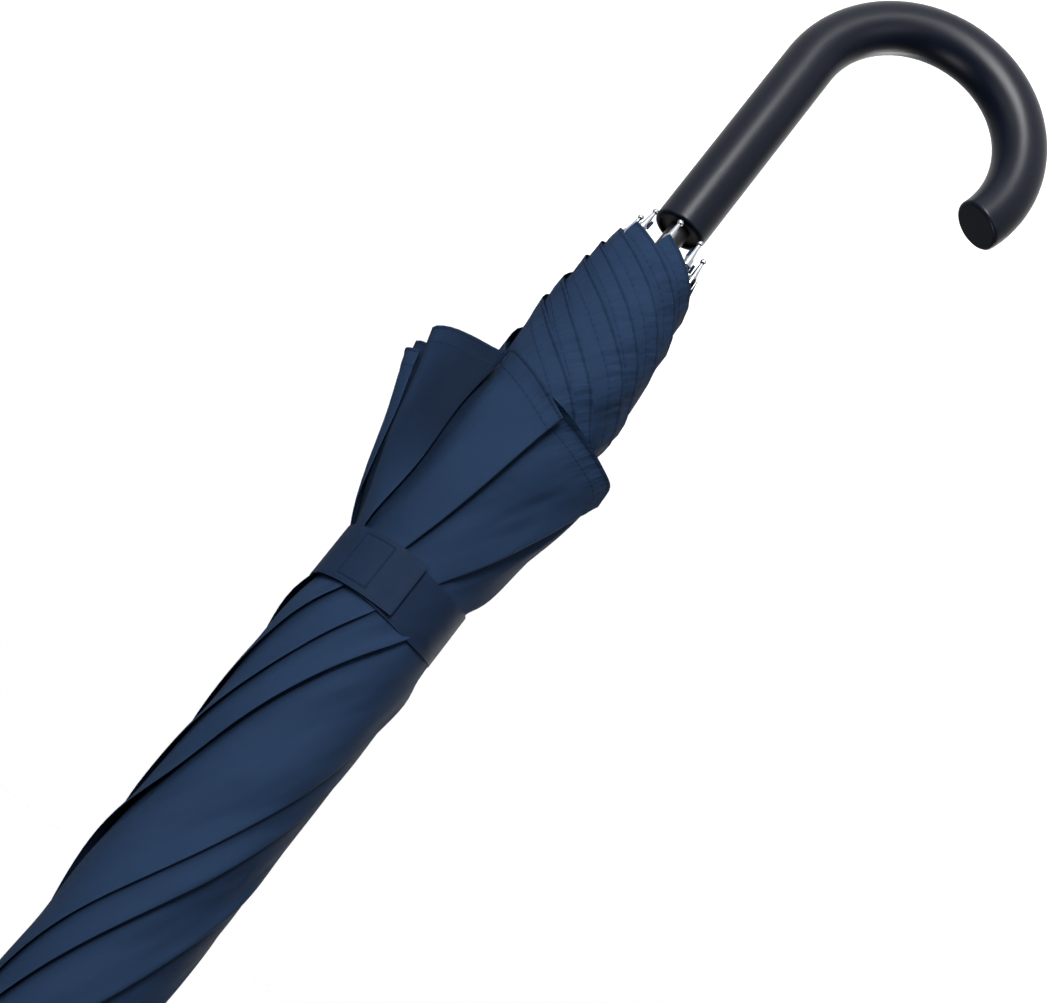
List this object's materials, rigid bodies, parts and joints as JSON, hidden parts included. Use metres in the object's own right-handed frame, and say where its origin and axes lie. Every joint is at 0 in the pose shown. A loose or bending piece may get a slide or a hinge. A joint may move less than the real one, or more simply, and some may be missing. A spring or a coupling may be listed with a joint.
{
  "type": "umbrella",
  "caption": "Crook-handled stick umbrella, rolled and strapped, whose runner, stretchers and ribs open its cloth canopy.",
  "frame": {"origin": "on the shaft's axis, at the middle of the straight part of the grip", "axes": "+Z along the shaft towards the ferrule, +X towards the side the crook bends to, and +Y completes the frame; the strap's free end is on the +Y side"},
  "size_m": [0.1735, 0.104, 0.8387],
  "materials": {
    "handle": "soft-touch matt black",
    "insert": "plain black",
    "shaft": "satin black tube",
    "ribs": "black glass fibre rod",
    "stretchers": "satin black",
    "fittings": "black moulded plastic",
    "wire": "bright wire",
    "catches": "spring steel",
    "tips": "bright chrome",
    "ferrule": "matt black",
    "ferrule_end": "bright chrome",
    "canopy": "navy polyester with a slight sheen",
    "strap": "navy polyester, two layers, stitched",
    "thread": "navy sewing thread"
  },
  "bodies": {
    "frame": {"shaft": "shaft", "handle": "handle", "handle_insert": "insert", "notch": "fittings", "notch_wire": "wire", "notch_pin": "wire", "ferrule": "ferrule", "ferrule_cap": "ferrule_end", "crown_cap": "fittings", "rosette": "canopy", "stop_collar": "fittings"},
    "rib_1": {"rib_1": "ribs", "rib_tip_1": "tips", "canopy_gore_1": "canopy", "strap_band": "strap"},
    "rib_2": {"rib_2": "ribs", "rib_tip_2": "tips", "canopy_gore_2": "canopy"},
    "rib_3": {"rib_3": "ribs", "rib_tip_3": "tips", "canopy_gore_3": "canopy"},
    "rib_4": {"rib_4": "ribs", "rib_tip_4": "tips", "canopy_gore_4": "canopy"},
    "rib_5": {"rib_5": "ribs", "rib_tip_5": "tips", "canopy_gore_5": "canopy"},
    "rib_6": {"rib_6": "ribs", "rib_tip_6": "tips", "canopy_gore_6": "canopy"},
    "rib_7": {"rib_7": "ribs", "rib_tip_7": "tips", "canopy_gore_7": "canopy"},
    "rib_8": {"rib_8": "ribs", "rib_tip_8": "tips", "canopy_gore_8": "canopy"},
    "stretcher_1": {"stretcher_1": "stretchers"},
    "stretcher_2": {"stretcher_2": "stretchers"},
    "stretcher_3": {"stretcher_3": "stretchers"},
    "stretcher_4": {"stretcher_4": "stretchers"},
    "stretcher_5": {"stretcher_5": "stretchers"},
    "stretcher_6": {"stretcher_6": "stretchers"},
    "stretcher_7": {"stretcher_7": "stretchers"},
    "stretcher_8": {"stretcher_8": "stretchers"},
    "runner": {"runner": "fittings", "runner_wire": "wire"},
    "gore_1": {"hem_tie_1": "thread"},
    "gore_2": {"hem_tie_2": "thread"},
    "gore_3": {"hem_tie_3": "thread"},
    "gore_4": {"hem_tie_4": "thread"},
    "gore_5": {"hem_tie_5": "thread"},
    "gore_6": {"hem_tie_6": "thread"},
    "gore_7": {"hem_tie_7": "thread"},
    "gore_8": {"hem_tie_8": "thread"},
    "hand_catch": {"hand_spring": "catches"},
    "top_catch": {"top_spring": "catches"},
    "strap_end": {"strap_tab": "strap", "strap_patch": "strap"}
  },
  "joints": [
    {"name": "rib_1_hinge", "type": "hinge", "parent": "frame", "child": "rib_1", "pos_m": [0, 0.008, 0.628], "axis": [1, 0, 0], "range_deg": [0, 66], "deforming": ["strap_band"]},
    {"name": "rib_2_hinge", "type": "hinge", "parent": "frame", "child": "rib_2", "pos_m": [-0.00566, 0.00566, 0.628], "axis": [0.7071, 0.7071, 0], "range_deg": [0, 66]},
    {"name": "rib_3_hinge", "type": "hinge", "parent": "frame", "child": "rib_3", "pos_m": [-0.008, 0, 0.628], "axis": [0, 1, 0], "range_deg": [0, 66]},
    {"name": "rib_4_hinge", "type": "hinge", "parent": "frame", "child": "rib_4", "pos_m": [-0.00566, -0.00566, 0.628], "axis": [-0.7071, 0.7071, 0], "range_deg": [0, 66]},
    {"name": "rib_5_hinge", "type": "hinge", "parent": "frame", "child": "rib_5", "pos_m": [0, -0.008, 0.628], "axis": [-1, 0, 0], "range_deg": [0, 66]},
    {"name": "rib_6_hinge", "type": "hinge", "parent": "frame", "child": "rib_6", "pos_m": [0.00566, -0.00566, 0.628], "axis": [-0.7071, -0.7071, 0], "range_deg": [0, 66]},
    {"name": "rib_7_hinge", "type": "hinge", "parent": "frame", "child": "rib_7", "pos_m": [0.008, 0, 0.628], "axis": [0, -1, 0], "range_deg": [0, 66]},
    {"name": "rib_8_hinge", "type": "hinge", "parent": "frame", "child": "rib_8", "pos_m": [0.00566, 0.00566, 0.628], "axis": [0.7071, -0.7071, 0], "range_deg": [0, 66]},
    {"name": "stretcher_1_hinge", "type": "hinge", "parent": "rib_1", "child": "stretcher_1", "pos_m": [0, 0.0201, 0.38831], "axis": [-1, 0, 0], "range_deg": [0, 132]},
    {"name": "stretcher_2_hinge", "type": "hinge", "parent": "rib_2", "child": "stretcher_2", "pos_m": [-0.01421, 0.01421, 0.38831], "axis": [-0.7071, -0.7071, 0], "range_deg": [0, 132]},
    {"name": "stretcher_3_hinge", "type": "hinge", "parent": "rib_3", "child": "stretcher_3", "pos_m": [-0.0201, 0, 0.38831], "axis": [0, -1, 0], "range_deg": [0, 132]},
    {"name": "stretcher_4_hinge", "type": "hinge", "parent": "rib_4", "child": "stretcher_4", "pos_m": [-0.01421, -0.01421, 0.38831], "axis": [0.7071, -0.7071, 0], "range_deg": [0, 132]},
    {"name": "stretcher_5_hinge", "type": "hinge", "parent": "rib_5", "child": "stretcher_5", "pos_m": [0, -0.0201, 0.38831], "axis": [1, 0, 0], "range_deg": [0, 132]},
    {"name": "stretcher_6_hinge", "type": "hinge", "parent": "rib_6", "child": "stretcher_6", "pos_m": [0.01421, -0.01421, 0.38831], "axis": [0.7071, 0.7071, 0], "range_deg": [0, 132]},
    {"name": "stretcher_7_hinge", "type": "hinge", "parent": "rib_7", "child": "stretcher_7", "pos_m": [0.0201, 0, 0.38831], "axis": [0, 1, 0], "range_deg": [0, 132]},
    {"name": "stretcher_8_hinge", "type": "hinge", "parent": "rib_8", "child": "stretcher_8", "pos_m": [0.01421, 0.01421, 0.38831], "axis": [-0.7071, 0.7071, 0], "range_deg": [0, 132]},
    {"name": "runner_hinge", "type": "hinge", "parent": "stretcher_1", "child": "runner", "pos_m": [0, 0.008, 0.14861], "axis": [1, 0, 0], "range_deg": [0, 66]},
    {"name": "gore_1_spread", "type": "hinge", "parent": "rib_1", "child": "gore_1", "pos_m": [-0.00283, 0.00683, 0.628], "axis": [-0.1572, 0.9875, 0.0128], "range_deg": [0, 40.55]},
    {"name": "gore_2_spread", "type": "hinge", "parent": "rib_2", "child": "gore_2", "pos_m": [-0.00683, 0.00283, 0.628], "axis": [-0.8094, 0.5871, 0.0128], "range_deg": [0, 40.55]},
    {"name": "gore_3_spread", "type": "hinge", "parent": "rib_3", "child": "gore_3", "pos_m": [-0.00683, -0.00283, 0.628], "axis": [-0.9875, -0.1572, 0.0128], "range_deg": [0, 40.55]},
    {"name": "gore_4_spread", "type": "hinge", "parent": "rib_4", "child": "gore_4", "pos_m": [-0.00283, -0.00683, 0.628], "axis": [-0.5871, -0.8094, 0.0128], "range_deg": [0, 40.55]},
    {"name": "gore_5_spread", "type": "hinge", "parent": "rib_5", "child": "gore_5", "pos_m": [0.00283, -0.00683, 0.628], "axis": [0.1572, -0.9875, 0.0128], "range_deg": [0, 40.55]},
    {"name": "gore_6_spread", "type": "hinge", "parent": "rib_6", "child": "gore_6", "pos_m": [0.00683, -0.00283, 0.628], "axis": [0.8094, -0.5871, 0.0128], "range_deg": [0, 40.55]},
    {"name": "gore_7_spread", "type": "hinge", "parent": "rib_7", "child": "gore_7", "pos_m": [0.00683, 0.00283, 0.628], "axis": [0.9875, 0.1572, 0.0128], "range_deg": [0, 40.55]},
    {"name": "gore_8_spread", "type": "hinge", "parent": "rib_8", "child": "gore_8", "pos_m": [0.00283, 0.00683, 0.628], "axis": [0.5871, 0.8094, 0.0128], "range_deg": [0, 40.55]},
    {"name": "hand_catch_press", "type": "hinge", "parent": "frame", "child": "hand_catch", "pos_m": [0.00323, 0.00134, 0.11061], "axis": [0.3827, -0.9239, 0], "range_deg": [0, 8], "stiffness_Nm_per_rad": 0.15},
    {"name": "top_catch_press", "type": "hinge", "parent": "frame", "child": "top_catch", "pos_m": [0.00323, 0.00134, 0.39712], "axis": [0.3827, -0.9239, 0], "range_deg": [0, 8], "stiffness_Nm_per_rad": 0.15},
    {"name": "strap_peel", "type": "hinge", "parent": "rib_1", "child": "strap_end", "pos_m": [-0.02716, 0.01505, 0.266], "axis": [0, 0, 1], "range_deg": [0, 70]}
  ],
  "couplings": [
    {"joint": "rib_2_hinge", "follows": "rib_1_hinge", "ratio": 1},
    {"joint": "rib_3_hinge", "follows": "rib_1_hinge", "ratio": 1},
    {"joint": "rib_4_hinge", "follows": "rib_1_hinge", "ratio": 1},
    {"joint": "rib_5_hinge", "follows": "rib_1_hinge", "ratio": 1},
    {"joint": "rib_6_hinge", "follows": "rib_1_hinge", "ratio": 1},
    {"joint": "rib_7_hinge", "follows": "rib_1_hinge", "ratio": 1},
    {"joint": "rib_8_hinge", "follows": "rib_1_hinge", "ratio": 1},
    {"joint": "stretcher_1_hinge", "follows": "rib_1_hinge", "ratio": 2},
    {"joint": "stretcher_2_hinge", "follows": "rib_1_hinge", "ratio": 2},
    {"joint": "stretcher_3_hinge", "follows": "rib_1_hinge", "ratio": 2},
    {"joint": "stretcher_4_hinge", "follows": "rib_1_hinge", "ratio": 2},
    {"joint": "stretcher_5_hinge", "follows": "rib_1_hinge", "ratio": 2},
    {"joint": "stretcher_6_hinge", "follows": "rib_1_hinge", "ratio": 2},
    {"joint": "stretcher_7_hinge", "follows": "rib_1_hinge", "ratio": 2},
    {"joint": "stretcher_8_hinge", "follows": "rib_1_hinge", "ratio": 2},
    {"joint": "runner_hinge", "follows": "rib_1_hinge", "ratio": 1},
    {"joint": "gore_1_spread", "follows": "rib_1_hinge", "ratio": 0.61433},
    {"joint": "gore_2_spread", "follows": "rib_1_hinge", "ratio": 0.61433},
    {"joint": "gore_3_spread", "follows": "rib_1_hinge", "ratio": 0.61433},
    {"joint": "gore_4_spread", "follows": "rib_1_hinge", "ratio": 0.61433},
    {"joint": "gore_5_spread", "follows": "rib_1_hinge", "ratio": 0.61433},
    {"joint": "gore_6_spread", "follows": "rib_1_hinge", "ratio": 0.61433},
    {"joint": "gore_7_spread", "follows": "rib_1_hinge", "ratio": 0.61433},
    {"joint": "gore_8_spread", "follows": "rib_1_hinge", "ratio": 0.61433}
  ]
}
